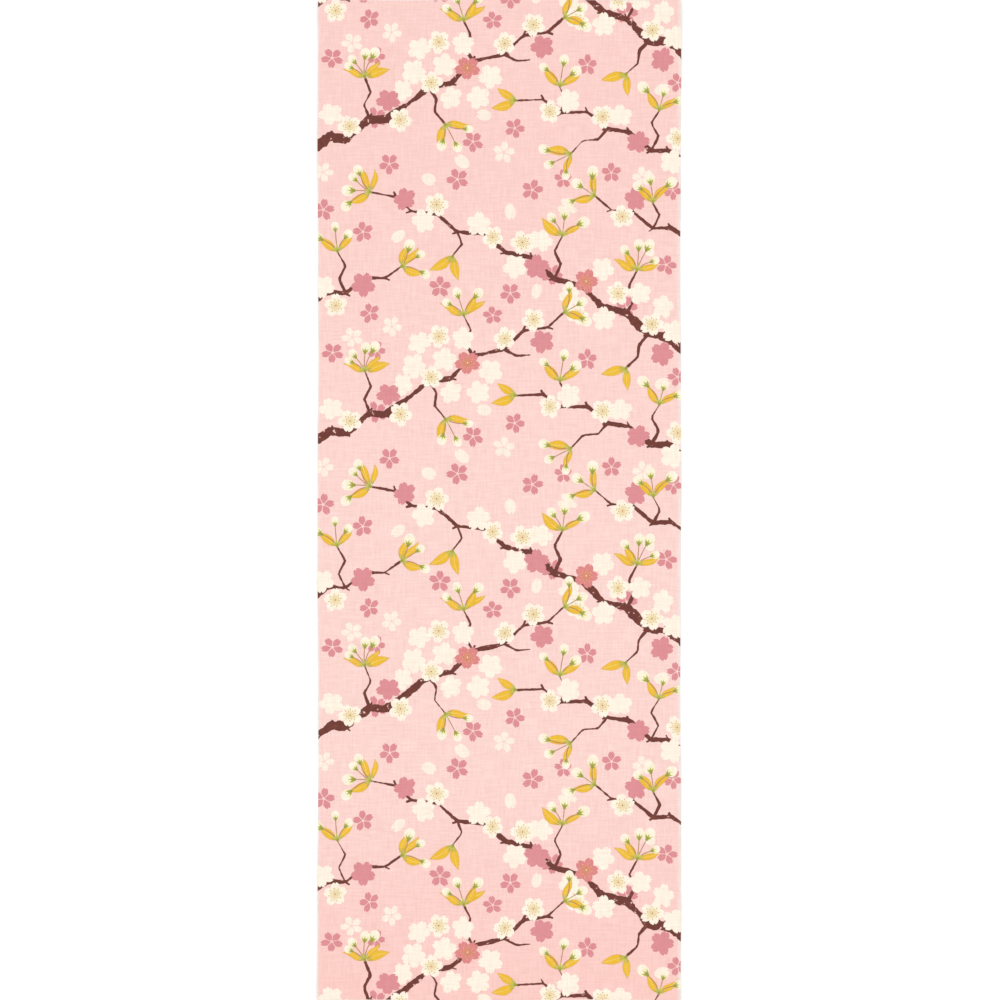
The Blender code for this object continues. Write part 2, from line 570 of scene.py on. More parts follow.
def middles(values):
    """The mean of each tile's four corners."""
    return (values[:-1, :-1] + values[1:, :-1] + values[:-1, 1:] + values[1:, 1:]) / 4


def four_corners(values):
    """Each tile's own four corner values, counterclockwise seen from above."""
    return np.stack((values[:-1, :-1], values[:-1, 1:], values[1:, 1:], values[1:, :-1]), axis=2)


class InkLayer:
    """One layer of the print. For each tile it keeps up to depth motifs, the lowest first, and for
    each of them where the tile's four corners lie on the motif, and the motif's kind."""

    def __init__(self, name, tiles):
        self.name = name
        self.tiles = tiles
        self.depth = LAYER_DEPTHS[name]
        self.used = np.zeros((TILES_ALONG, TILES_ACROSS), int)
        self.places = np.zeros((self.depth, TILES_ALONG, TILES_ACROSS, 4, 3), np.float32)

    def note(self, rows, columns, values, touched):
        """Adds a motif to the tiles of a window that it touches. values are its own two coordinates
        at the window's corners, and its kind or another value there."""
        own = np.stack([four_corners(value) for value in values], axis=-1)
        row, column = np.nonzero(touched)
        level = self.used[rows, columns][row, column]
        if level.size and level.max() >= self.depth:
            crowded = level.argmax()
            x = self.tiles.x[columns.start + column[crowded]]
            y = self.tiles.y[rows.start + row[crowded]]
            raise ValueError(f"more than {self.depth} {self.name} on the tile at {x}, {y}")
        self.places[level, rows.start + row, columns.start + column] = own[row, column]
        self.used[rows.start + row, columns.start + column] += 1

    def lay_shape(self, x, y, size, turn_deg, kind, box, squash=(1.0, 0.0), bend=0.0, sway=0.0):
        """A motif of a given size about x, y, its first axis turned from +X. Own coordinates are
        distances along and across that axis in sizes, drawn together by the squash, bent by a share
        of a sine arch and swayed by a share of a whole sine wave. box is its own lowest and highest
        coordinates."""
        reach = size * max(abs(side) for side in box) * math.sqrt(2) + self.tiles.half_diagonal
        window = self.tiles.window((x - reach, y - reach), (x + reach, y + reach))
        if window is None:
            return
        rows, columns, corner_x, corner_y = window
        share, lean_deg = squash
        along, across = turned((corner_x - x) / size, (corner_y - y) / size, lean_deg)
        along, across = turned(along, across / share, turn_deg - lean_deg)
        clipped = np.clip(along, 0, 1)
        across = across - bend * np.sin(np.pi * clipped) - sway * np.sin(2 * np.pi * clipped)
        margin = self.tiles.half_diagonal / size
        middle_along, middle_across = middles(along), middles(across)
        low_along, high_along, low_across, high_across = box
        touched = (
            (middle_along > low_along - margin) & (middle_along < high_along + margin)
            & (middle_across > low_across - margin) & (middle_across < high_across + margin))
        if low_along == -high_along:
            touched &= np.hypot(middle_along, middle_across) < high_along + margin
        self.note(rows, columns, (along, across, np.full(along.shape, kind)), touched)

    def lay_stroke(self, route, half_widths):
        """A stroke along a route. Own coordinates are the millimetres from its nearer end, the signed
        distance from the route, and the half width there."""
        route = np.array(route, float)
        margin = max(half_widths) * STROKE_SPREAD + 2 * self.tiles.half_diagonal
        window = self.tiles.window(route.min(axis=0) - margin, route.max(axis=0) + margin)
        if window is None:
            return
        rows, columns, corner_x, corner_y = window
        from_end, offset, half = along_route(corner_x, corner_y, route, half_widths)
        touched = middles(np.abs(offset)) < middles(half) * STROKE_SPREAD + self.tiles.half_diagonal
        touched &= four_corners(from_end > 0).any(axis=2)
        self.note(rows, columns, (from_end, offset, half), touched)


def along_route(x, y, route, half_widths):
    """For each place, from the nearest leg of the route: the run to there from the nearer of its two
    ends, negative past them, the signed distance from it with the left side positive, and the half
    width, which changes by a power of the run's share."""
    legs = np.diff(route, axis=0)
    lengths = np.hypot(legs[:, 0], legs[:, 1])
    whole = lengths.sum()
    nearest = np.full(x.shape, np.inf)
    run = np.zeros(x.shape)
    offset = np.zeros(x.shape)
    started = 0.0
    for number, (start, leg, length) in enumerate(zip(route, legs, lengths)):
        forward = leg / length
        reach = (x - start[0]) * forward[0] + (y - start[1]) * forward[1]
        side = (y - start[1]) * forward[0] - (x - start[0]) * forward[1]
        kept = np.clip(reach, 0, length)
        gap = np.hypot(reach - kept, side)
        past_an_end = ((number == 0) & (reach < 0)) | ((number == len(legs) - 1) & (reach > length))
        nearer = gap < nearest
        nearest = np.where(nearer, gap, nearest)
        run = np.where(nearer, started + np.where(past_an_end, reach, kept), run)
        offset = np.where(nearer, np.where(past_an_end, side, np.copysign(gap, side)), offset)
        started += length
    first, last = half_widths
    half = first + (last - first) * np.clip(run / whole, 0, 1) ** TAPER_POWER
    return np.minimum(run, whole - run), offset, half


def varied(number, spread):
    """A small steady variation for the numbered motif, from minus to plus spread, by the golden share."""
    return spread * (2 * ((number * GOLDEN_SHARE) % 1) - 1)


def pointing(heading_deg):
    """A step of length 1 along a heading."""
    heading = math.radians(heading_deg)
    return np.array((math.cos(heading), math.sin(heading)))


def arc_route(start, heading_deg, end_heading_deg, reach):
    """A stalk: a quadratic curve that leaves along the first heading and ends reach away along the
    second."""
    bend = start + STALK_BEND * reach * pointing(heading_deg)
    end = start + reach * pointing(end_heading_deg)
    share = np.linspace(0, 1, STALK_POINTS)[:, None]
    return (1 - share) ** 2 * start + 2 * share * (1 - share) * bend + share**2 * end


def lay_spray(layers, number, foot, heading, buds, leaf_headings):
    """A fan of stalks with a bud at each end, green sheath scales at its foot, and leaves. Beside buds
    every second leaf is a narrow one."""
    for leaf, leaf_heading in enumerate(leaf_headings):
        length = LEAF_LENGTH * (1 + varied(3 * number + leaf, LEAF_LENGTH_SPREAD))
        narrow = 1 if buds and leaf % 2 == 0 else 0
        layers["leaves"].lay_shape(
            *(foot + LEAF_FOOT * pointing(leaf_heading)), length, leaf_heading, 1 + narrow, LEAF_BOX,
            bend=varied(number + 2 * leaf + 1, LEAF_BEND_SPREAD), sway=LEAF_SWAY * narrow)
    for bud in range(buds):
        share = bud / (buds - 1) - 0.5
        end_heading = heading - STALK_FAN * share + varied(number + bud, STALK_TURN_SPREAD)
        reach = STALK_REACH * (1.0 + varied(2 * bud + number, STALK_REACH_SPREAD))
        route = arc_route(foot, heading - STALK_START_FAN * STALK_FAN * share, end_heading, reach)
        layers["stalks"].lay_stroke(route, (STALK_HALF_WIDTH, STALK_HALF_WIDTH))
        last_leg = route[-1] - route[-2]
        layers["buds"].lay_shape(
            *route[-1], BUD_LENGTH * (1.0 + varied(5 * number + 2 * bud, BUD_LENGTH_SPREAD)),
            math.degrees(math.atan2(last_leg[1], last_leg[0])), BUD_KINDS.index("bud"), BUD_BOX)
    layers["buds"].lay_shape(*foot, SHEATH_LENGTH, heading, BUD_KINDS.index("sheath"), SHEATH_BOX)


def lay_bough(layers, first_half_width, last_half_width, route):
    """A bough or twig, with a short spur on the outer side of each bend of a long one."""
    layers["boughs"].lay_stroke(route, (first_half_width, last_half_width))
    if len(route) < SPURRED_POINTS:
        return
    for before, bend, after in zip(route[:-2], route[1:-1], route[2:]):
        way_in = (bend - before) / np.linalg.norm(bend - before)
        way_out = (after - bend) / np.linalg.norm(after - bend)
        outward = way_in - way_out + SPUR_FORWARD * way_out
        outward /= np.linalg.norm(outward)
        tip = bend + outward * (SPUR_LENGTH + first_half_width * SPUR_OUT_OF_BOUGH)
        layers["boughs"].lay_stroke((bend, tip), SPUR_HALF_WIDTHS)


def lay_print(tiles):
    """Lays every motif of the repeat, once for each time that it comes round along the towel."""
    layers = {name: InkLayer(name, tiles) for name in LAYER_DEPTHS}
    for turn in range(PRINT_REPEATS):
        foot = PRINT_START + turn * PRINT_REPEAT
        for layer, kinds in BLOSSOMS.items():
            for kind, places in enumerate(kinds.values(), start=1):
                for number, (x, y, radius) in enumerate(places):
                    squash = (1 - abs(varied(number + 5, BLOSSOM_SQUASH)), BLOSSOM_SQUASH_STEP * number)
                    layers[layer].lay_shape(
                        x, foot + y, radius, 360 * varied(3 * number + kind, 0.5), kind, BLOSSOM_BOX,
                        squash=squash)
        for first_half_width, last_half_width, route in BOUGHS:
            lay_bough(layers, first_half_width, last_half_width, np.array(route) + (0.0, foot))
        for number, (x, y, heading, buds, leaf_headings) in enumerate(SPRAYS):
            lay_spray(layers, number, np.array((x, foot + y)), heading, buds, leaf_headings)
    return layers


# Meshes

def grid_faces(first, flipped):
    """Corner numbers of the cloth's tiles, row by row, counterclockwise or flipped, on a grid of
    vertices that starts with the number first."""
    shape = (TILES_ALONG + 1, TILES_ACROSS + 1)
    faces = four_corners(first + np.arange(shape[0] * shape[1]).reshape(shape)).reshape(-1, 4)
    return faces[:, ::-1] if flipped else faces


def outline_numbers():
    """Vertex numbers of the grid's outline, counterclockwise from its first corner, closed."""
    shape = (TILES_ALONG + 1, TILES_ACROSS + 1)
    numbers = np.arange(shape[0] * shape[1]).reshape(shape)
    return np.concatenate((
        numbers[0, :-1], numbers[:-1, -1], numbers[-1, :0:-1], numbers[:0:-1, 0], numbers[:1, 0]))


def new_mesh_object(name, points, faces):
    """A mesh object at the origin, shaded smooth, from arrays of points and faces."""
    mesh = bpy.data.meshes.new(name)
    mesh.from_pydata(points.tolist(), [], faces.tolist())
    mesh.update()
    mesh.shade_smooth()
    piece = bpy.data.objects.new(name, mesh)
    bpy.context.scene.collection.objects.link(piece)
    return piece


def cloth_arrays(cloth):
    """The closed sheet: an upper and a lower grid on the laid surface, thickness apart, and a rim.
    The thickness grows a little towards the selvedges. Gives points, faces and flat places."""
    x, y = np.meshgrid(
        np.linspace(-cloth.width / 2, cloth.width / 2, TILES_ACROSS + 1),
        np.linspace(-cloth.length / 2, cloth.length / 2, TILES_ALONG + 1))
    lower = laid_points(x, y)
    upper = lower.copy()
    upper[..., 2] += cloth.thickness + SELVEDGE_THICKENING * selvedge_nearness(x, SELVEDGE_BAND)
    points = np.concatenate((upper.reshape(-1, 3), lower.reshape(-1, 3)))
    outline = outline_numbers()
    start, end = outline[:-1], outline[1:]
    rim = np.stack((start + x.size, end + x.size, end, start), axis=1)
    faces = np.concatenate((grid_faces(0, False), grid_faces(x.size, True), rim))
    return points, faces, np.stack((x.ravel(), y.ravel()), axis=1)


def bake_cells(flat, cloth):
    """The bake map at each face corner: the face of the cloth in three strips, each in a cell of its
    own, the back squeezed into the fourth cell, and the rim in a hair line beside the face."""
    grid = flat / (cloth.width, cloth.length) + 0.5
    rows_in_strip = TILES_ALONG / BAKE_STRIPS
    strip = (np.repeat(np.arange(TILES_ALONG), TILES_ACROSS) // rows_in_strip).astype(int)
    face_map = strip_places(grid[grid_faces(0, False)], strip[:, None])
    back_map = BAKE_CELL * (1 + BAKE_INSET + (1 - 2 * BAKE_INSET) * grid[grid_faces(0, True)])
    outline = outline_numbers()
    start, end = grid[outline[:-1]], grid[outline[1:]]
    middle = (start + end) / 2
    rim_strip = np.minimum((middle[:, 1] * BAKE_STRIPS).astype(int), BAKE_STRIPS - 1)[:, None]
    from_middle = middle - 0.5
    outward = np.where(np.abs(from_middle) > OUTLINE_SHARE, np.sign(from_middle), 0.0)[:, None, :]
    rim_map = strip_places(np.stack((start, end, end, start), axis=1), rim_strip)
    rim_map[:, :2] += BAKE_RIM * outward
    return np.concatenate((face_map, back_map, rim_map)).reshape(-1, 2)


def strip_places(grid, strip):
    """Shares across and along the towel, moved into the cell of the numbered strip: the first cell,
    the one beside it, or the one above it."""
    along = grid[..., 1] * BAKE_STRIPS - strip
    inner = 1 - 2 * BAKE_INSET
    return np.stack((
        BAKE_CELL * (np.where(strip == 1, 1, 0) + BAKE_INSET + inner * grid[..., 0]),
        BAKE_CELL * (np.where(strip == 2, 1, 0) + BAKE_INSET + inner * along)), axis=-1)


def write_corner_values(mesh, name, values):
    """Keeps one vector for each face corner under a name that the material reads."""
    attribute = mesh.attributes.new(name, "FLOAT_VECTOR", "CORNER")
    attribute.data.foreach_set("vector", values.astype(np.float32).ravel())


def write_map(mesh, name, values):
    """Keeps a UV map, one pair for each face corner."""
    layer = mesh.uv_layers.new(name=name)
    layer.uv.foreach_set("vector", values.astype(np.float32).ravel())


def print_on(mesh, layers, rim_tiles):
    """Writes each layer's places to the face corners: as they are on the upper side, in the flipped
    order on the lower one, and none on the rim."""
    for layer in layers.values():
        for level in range(layer.depth):
            upper = layer.places[level].reshape(-1, 4, 3)
            rim = np.zeros((rim_tiles, 4, 3), np.float32)
            write_corner_values(
                mesh, f"{layer.name}_{level}", np.concatenate((upper, upper[:, ::-1], rim)))


def fray_arrays(cloth):
    """Stubs of warp yarn along both cut ends, a yarn's pitch apart. A stub is a tapering tube: from a
    root inside the cloth it runs outwards by its own length, leans aside by a square of the share
    along it, and sinks towards the table."""
    chance = np.random.default_rng(FRAY_SEED)
    per_end = int(cloth.width / cloth.yarn_pitch) - 2
    count = 2 * per_end
    side = np.repeat((-1.0, 1.0), per_end)
    x = np.tile((np.arange(per_end) + 1.5) * cloth.yarn_pitch - cloth.width / 2, 2)
    length = cloth.fray_length * (FRAY_SHORTEST + (1 - FRAY_SHORTEST) * chance.random(count) ** 2)
    lean = chance.normal(0.0, FRAY_LEAN, count) * length
    thinnest, spread = FRAY_RADII
    radius = cloth.thickness * (thinnest + spread * chance.random(count))

    share = np.linspace(0, 1, FRAY_RINGS)[None, :, None]
    turn = (np.arange(FRAY_SIDES) / FRAY_SIDES * 2 * np.pi)[None, None, :]
    out = -FRAY_ROOT + (length[:, None, None] + FRAY_ROOT) * share
    root = laid_points(x, side * cloth.length / 2)[:, None, None, :]
    ring = radius[:, None, None] * (1 - FRAY_TAPER * share**2)
    wander = lean[:, None, None] * share**2
    root_height, drop = FRAY_HEIGHTS
    lift = np.maximum(cloth.thickness * (root_height - drop * share), 0.0)
    px = root[..., 0] + wander + ring * np.cos(turn)
    py = root[..., 1] + side[:, None, None] * out
    pz = root[..., 2] * (1 - FRAY_SINKING * share) + lift + ring * np.sin(turn)
    points = np.stack(np.broadcast_arrays(px, py, np.maximum(pz, FRAY_LOWEST)), axis=-1).reshape(-1, 3)

    first = np.arange(count)[:, None, None] * FRAY_RINGS * FRAY_SIDES
    here = np.arange(FRAY_SIDES)[None, None, :]
    beside = (here + 1) % FRAY_SIDES
    low = first + np.arange(FRAY_RINGS - 1)[None, :, None] * FRAY_SIDES
    walls = np.stack(np.broadcast_arrays(
        low + here, low + here + FRAY_SIDES, low + beside + FRAY_SIDES, low + beside), axis=-1)
    roots = first[:, 0] + here[0]
    tips = roots + (FRAY_RINGS - 1) * FRAY_SIDES
    upward = (side > 0)[:, None]
    walls = np.where(upward[..., None, None], walls, walls[..., ::-1]).reshape(-1, 4)
    tips = np.where(upward, tips[:, ::-1], tips)
    roots = np.where(upward, roots, roots[:, ::-1])
    return points, np.concatenate((walls, tips, roots))


# Shader nodes

class Wire:
    """A number on its way through a shader. Arithmetic on wires adds Math nodes to their tree."""

    def __init__(self, tree, socket):
        self.tree = tree
        self.socket = socket

    def math(self, operation, *others):
        return combined(self.tree, operation, self, *others)

    def __add__(self, other):
        return self.math("ADD", other)

    def __sub__(self, other):
        return self.math("SUBTRACT", other)

    def __rsub__(self, other):
        return combined(self.tree, "SUBTRACT", other, self)

    def __mul__(self, other):
        return self.math("MULTIPLY", other)

    def __truediv__(self, other):
        return self.math("DIVIDE", other)

    def __abs__(self):
        return self.math("ABSOLUTE")

    def below(self, limit):
        return self.math("LESS_THAN", limit)

    def above(self, limit):
        return self.math("GREATER_THAN", limit)

    def least(self, other):
        return self.math("MINIMUM", other)

    def most(self, other):
        return self.math("MAXIMUM", other)

    def shown(self, fade=EDGE_FADE):
        """1 where the number is well above 0, 0 where it is well below, and a short fade between."""
        share = self.math("MULTIPLY_ADD", 1 / fade, 0.5)
        share.socket.node.use_clamp = True
        return share


def combined(tree, operation, *values):
    """The result of one Math node on wires and numbers."""
    node = tree.nodes.new("ShaderNodeMath")
    node.operation = operation
    for slot, value in zip(node.inputs, values):
        feed(slot, value)
    return Wire(tree, node.outputs[0])


def feed(slot, value):
    """Links a wire or another node's output to a socket, or sets the socket to a number or colour."""
    if isinstance(value, Wire):
        value = value.socket
    if isinstance(value, NodeSocket):
        slot.id_data.links.new(value, slot)
    elif slot.type == "RGBA":
        slot.default_value = (*value, 1.0)
    else:
        slot.default_value = value


def wires(tree, sockets, *labels):
    """The sockets of those names as wires."""
    return [Wire(tree, sockets[label]) for label in labels]


def split(tree, socket):
    """The three numbers of a vector socket."""
    node = tree.nodes.new("ShaderNodeSeparateXYZ")
    feed(node.inputs[0], socket)
    return [Wire(tree, output) for output in node.outputs]


def joined(tree, *numbers):
    """A vector socket made of three numbers or wires."""
    node = tree.nodes.new("ShaderNodeCombineXYZ")
    for slot, value in zip(node.inputs, numbers):
        feed(slot, value)
    return node.outputs[0]


def noise(tree, vector, scale=1.0, detail=1.0):
    """Blender's noise at a vector socket, about 0.5 on average."""
    node = tree.nodes.new("ShaderNodeTexNoise")
    feed(node.inputs["Vector"], vector)
    node.inputs["Scale"].default_value = scale
    node.inputs["Detail"].default_value = detail
    return Wire(tree, node.outputs["Fac"])


def painted(tree, under, ink, share):
    """The colour under with an ink over it where share is 1."""
    node = tree.nodes.new("ShaderNodeMix")
    node.data_type = "RGBA"
    feed(node.inputs["Factor"], share)
    feed(node.inputs[6], under)
    feed(node.inputs[7], ink)
    return node.outputs[2]


def shaded(tree, colour, tone, slub):
    """A colour times 1 + tone times slub, with a share of the slub for each of red, green and blue."""
    factor = joined(tree, *(tone * (slub * share) + 1.0 for share in SLUB_TINT))
    node = tree.nodes.new("ShaderNodeVectorMath")
    node.operation = "MULTIPLY"
    feed(node.inputs[0], colour)
    feed(node.inputs[1], factor)
    return node.outputs[0]


def uv_socket(tree, name):
    """The piece's own map of that name, as a vector socket."""
    node = tree.nodes.new("ShaderNodeUVMap")
    node.uv_map = name
    return node.outputs[0]


def corner_socket(tree, name):
    """The vector kept for each face corner under that name."""
    node = tree.nodes.new("ShaderNodeAttribute")
    node.attribute_type = "GEOMETRY"
    node.attribute_name = name
    return node.outputs["Vector"]


def new_group(name, inputs, outputs):
    """An empty shader node group, its inputs and outputs. Both are given as {label: type}."""
    tree = bpy.data.node_groups.new(name, "ShaderNodeTree")
    for in_out, sockets in (("INPUT", inputs), ("OUTPUT", outputs)):
        for label, kind in sockets.items():
            tree.interface.new_socket(name=label, in_out=in_out, socket_type=f"NodeSocket{kind}")
    return tree, tree.nodes.new("NodeGroupInput").outputs, tree.nodes.new("NodeGroupOutput").inputs


def ink_group(name, **more_inputs):
    """A new group for one layer of motifs. Under is the colour below it, and Place holds a motif's own
    two coordinates and its kind or another value. Kinds are whole numbers from 1 and 0 is no motif,
    so that they are told apart at the halves between."""
    return new_group(name, {"Under": "Color", "Place": "Vector", **more_inputs}, {"Colour": "Color"})


def placed_group(tree, group, **values):
    """The outputs of a node of the group, its inputs fed by name with underscores for spaces."""
    node = tree.nodes.new("ShaderNodeGroup")
    node.node_tree = group
    for label, value in values.items():
        feed(node.inputs[label.replace("_", " ")], value)
    return node.outputs


def folded(angle, step):
    """The angle from the nearest whole number of steps."""
    return ((angle / step + 0.5).math("FRACT") - 0.5) * step


def polar(u, v):
    """Distance and direction of a place from the middle."""
    return (u * u + v * v).math("SQRT"), v.math("ARCTAN2", u)


# Groups of the print

def inside_petal(along, side, half_width):
    """How deep a place lies in a petal: an ellipse with a notch cut in its tip."""
    length_share = (along - PETAL_MIDDLE) / PETAL_HALF_LENGTH
    width_share = side / half_width
    ellipse = 1.0 - (length_share * length_share + width_share * width_share).math("SQRT")
    notch = side * (NOTCH_DEPTH / NOTCH_HALF_WIDTH) + (1.0 - NOTCH_DEPTH) - along
    return (ellipse * PETAL_DEPTH).least(notch)


def open_blossom_group(inks):
    """Five petals with a gap along the line between two of them. The angle is folded into one fifth of
    a turn, so that along runs down the nearest petal's middle line and side away from it. A loose
    petal is one unfolded petal."""
    tree, given, out = ink_group("open_blossom")
    u, v, kind = split(tree, given["Place"])
    radius, angle = polar(u, v)
    fold = folded(angle, 2 * math.pi / PETALS)
    loose = kind.above(2.5)
    along = radius * fold.math("COSINE")
    along = along + loose * (u * LOOSE_PETAL_SHRINK + PETAL_MIDDLE - along)
    side = radius * fold.math("SINE")
    side = abs(side + loose * (v * LOOSE_PETAL_SHRINK - side))
    gap = along * math.tan(math.pi / PETALS) - side - PETAL_GAP + loose
    share = inside_petal(along, side, OPEN_PETAL_HALF_WIDTH).least(gap).shown() * kind.above(0.5)
    ink = painted(tree, inks.cream, inks.rose, kind.above(1.5) - loose)
    feed(out["Colour"], painted(tree, given["Under"], ink, share))
    return tree


def whole_blossom(tree, place):
    """The outline of five wide petals about a round core: a place's distance and direction from the
    middle, its motif's kind, and whether it is inside."""
    u, v, kind = split(tree, place)
    radius, angle = polar(u, v)
    fold = folded(angle, 2 * math.pi / PETALS)
    along = radius * fold.math("COSINE")
    side = abs(radius * fold.math("SINE"))
    inside = inside_petal(along, side, FULL_PETAL_HALF_WIDTH).most(BLOSSOM_CORE - radius)
    return radius, angle, kind, inside.shown() * kind.above(0.5)


def full_blossom_group(inks):
    """A plain silhouette of a blossom, ivory or rose."""
    tree, given, out = ink_group("full_blossom")
    _, _, kind, share = whole_blossom(tree, given["Place"])
    ink = painted(tree, inks.ivory, inks.rose, kind.above(1.5))
    feed(out["Colour"], painted(tree, given["Under"], ink, share))
    return tree


def stamened_blossom_group(inks):
    """A blossom, white or coral, with a halo, a heart and stamens. The stamens are thin rays about the
    middle, folded as the petals are, with a dot at each end, every second one longer, and all of them
    longer on one side."""
    tree, given, out = ink_group("stamened_blossom")
    radius, angle, kind, share = whole_blossom(tree, given["Place"])
    is_coral = kind.above(1.5)
    ray_side = abs(radius * folded(angle, 2 * math.pi / STAMENS))
    lean = angle.math("COSINE") * STAMEN_LEAN
    reach = (angle * (STAMENS / 2)).math("COSINE") * STAMEN_REACH_CHANGE + lean + STAMEN_REACH
    past_reach = radius - reach
    dot = STAMEN_DOT - (past_reach * past_reach + ray_side * ray_side).math("SQRT")
    filament = (FILAMENT_HALF_WIDTH - ray_side).least(reach - radius).shown(FINE_FADE)
    filament = filament * radius.above(FILAMENT_START)
    stamen = dot.shown(FINE_FADE).most(filament * FILAMENT_STRENGTH) * share
    halo = (is_coral * -CORAL_HALO_LESS + HALO_REACH - radius).shown(HALO_FADE)
    colour = given["Under"]
    for on_white, on_coral, covered in (
            (inks.white, inks.coral, share),
            (HALO_ON_WHITE, HALO_ON_CORAL, halo * share * HALO_STRENGTH),
            (STAMENS_ON_WHITE, STAMENS_ON_CORAL, stamen),
            (HEART_OF_WHITE, HEART_OF_CORAL, (HEART_REACH - radius).shown(HEART_FADE) * share)):
        colour = painted(tree, colour, painted(tree, on_white, on_coral, is_coral), covered)
    feed(out["Colour"], colour)
    return tree


def bark_group():
    """Three noises of different fineness for the boughs, each about 0: Swell for their slow thickening
    and thinning, Ragged for their knotty outline, and Grain for the flecks and openings in them."""
    tree, given, out = new_group(
        "bark", {"Place": "Vector"}, {"Swell": "Float", "Ragged": "Float", "Grain": "Float"})
    feed(out["Swell"], noise(tree, given["Place"], scale=SWELL_FINENESS, detail=0.0) - 0.5)
    feed(out["Ragged"], noise(tree, given["Place"], scale=RAGGED_FINENESS, detail=1.0) - 0.5)
    feed(out["Grain"], noise(tree, given["Place"], scale=GRAIN_FINENESS, detail=2.0) - 0.5)
    return tree


def bough_group(inks):
    """A band along a route. Its half width swells slowly and its outline is ragged, the more so the
    thicker it is, and the thick part has small openings."""
    tree, given, out = ink_group("printed_bough", Swell="Float", Ragged="Float", Grain="Float")
    from_end, offset, half = split(tree, given["Place"])
    swell, ragged, grain = wires(tree, given, "Swell", "Ragged", "Grain")
    width = half * (swell * BOUGH_SWELL + 1.0) + ragged * (half * RAGGED_SHARE + RAGGED_LEAST)
    share = (width - abs(offset)).least(from_end).shown(BOUGH_FADE) * half.above(LEAST_HALF_WIDTH)
    thick_part = (half - OPENING_HALF_WIDTH).shown(OPENING_WIDTH_FADE)
    opening = (grain - OPENING_LEVEL).shown(FINE_FADE) * thick_part * OPENING_STRENGTH
    flecks = (grain - FLECK_LEVEL).shown(FLECK_FADE) * FLECK_STRENGTH
    bark = painted(tree, inks.brown, PALE_BARK, flecks)
    bark = painted(tree, bark, inks.ground, opening)
    feed(out["Colour"], painted(tree, given["Under"], bark, share))
    return tree


def stalk_group(inks):
    """A thin band along a route, olive at its two ends and reddish between them."""
    tree, given, out = ink_group("printed_stalk")
    from_end, offset, half = split(tree, given["Place"])
    share = (half - abs(offset)).least(from_end).shown(STALK_FADE) * half.above(LEAST_HALF_WIDTH)
    reddish = (from_end * (3 / STALK_REACH)).least(1.0)
    stalk = painted(tree, inks.olive, STALK_MIDDLE, reddish)
    feed(out["Colour"], painted(tree, given["Under"], stalk, share))
    return tree


def leaf_group(inks):
    """A pointed leaf: half width u (1 - u) (fullness - tapering u) at the share u of its length, less
    for a narrow leaf, with fine saw teeth. Gold, green at the foot, with a pale midrib, faint side
    veins that slant forward and a darker rim."""
    tree, given, out = ink_group("printed_leaf")
    u, v, kind = split(tree, given["Place"])
    aside = abs(v)
    teeth = (u * -LEAF_TEETH).math("FRACT") * TOOTH_DEPTH
    half_width = u * (1.0 - u) * (u * -LEAF_TAPERING + LEAF_FULLNESS)
    depth = half_width * (kind.above(1.5) * -NARROW_LEAF_LESS + 1.0) - teeth - aside
    share = depth.shown() * kind.above(0.5)
    vein_wave = ((u - aside * VEIN_SLANT) * VEIN_ANGLES_PER_LENGTH).math("SINE")
    veins = (vein_wave - VEIN_LEVEL).shown(VEIN_FADE) * VEIN_STRENGTH
    midrib = (MIDRIB_HALF_WIDTH - aside).shown(FINE_FADE) * u.below(MIDRIB_END) * MIDRIB_STRENGTH
    rim = (LEAF_RIM_DEPTH - depth).shown(FINE_FADE) * LEAF_RIM_STRENGTH
    leaf = painted(tree, inks.gold, inks.green, (LEAF_GREEN_REACH - u).shown(LEAF_GREEN_FADE))
    for ink, covered in ((DEEP_GOLD, veins), (PALE_GOLD, midrib), (LEAF_RIM, rim)):
        leaf = painted(tree, leaf, ink, covered)
    feed(out["Colour"], painted(tree, given["Under"], leaf, share))
    return tree


def bud_group(inks):
    """A round bud, an ellipse forward of a calyx. The calyx is a star of narrow points: the angle about
    its foot is folded to the nearest point, whose half width falls evenly to its tip. A sheath is a
    wider calyx alone."""
    tree, given, out = ink_group("printed_bud")
    u, v, kind = split(tree, given["Place"])
    is_bud = kind.above(0.5) * kind.below(1.5)
    forward = (u - BUD_MIDDLE) / BUD_HALF_LENGTH
    aside = v / BUD_HALF_WIDTH
    round_share = (1.0 - (forward * forward + aside * aside).math("SQRT")).shown(BUD_FADE) * is_bud
    flush = (BUD_FLUSH_REACH - u).shown(BUD_FLUSH_FADE) * BUD_FLUSH_STRENGTH

    radius, angle = polar(u - CALYX_FOOT, v)
    fold = folded(angle, CALYX_STEP)
    along = radius * fold.math("COSINE")
    side = abs(radius * fold.math("SINE"))
    tip, slope, knob = (
        is_bud * (BUD_CALYX[measure] - SHEATH_CALYX[measure]) + SHEATH_CALYX[measure]
        for measure in ("tip", "slope", "knob"))
    point = (tip - along) * slope - side
    fan = CALYX_FAN_STEPS * CALYX_STEP - abs(angle)
    calyx = point.least(fan * CALYX_FAN_DEPTH).most(knob - radius).shown(CALYX_FADE) * kind.above(0.5)
    petal = painted(tree, inks.white, BUD_FLUSH, flush)
    green = painted(tree, inks.green, PALE_GREEN, (radius - CALYX_DARK_REACH).shown(CALYX_DARK_FADE))
    colour = painted(tree, given["Under"], petal, round_share)
    feed(out["Colour"], painted(tree, colour, green, calyx))
    return tree


# Groups of the cloth

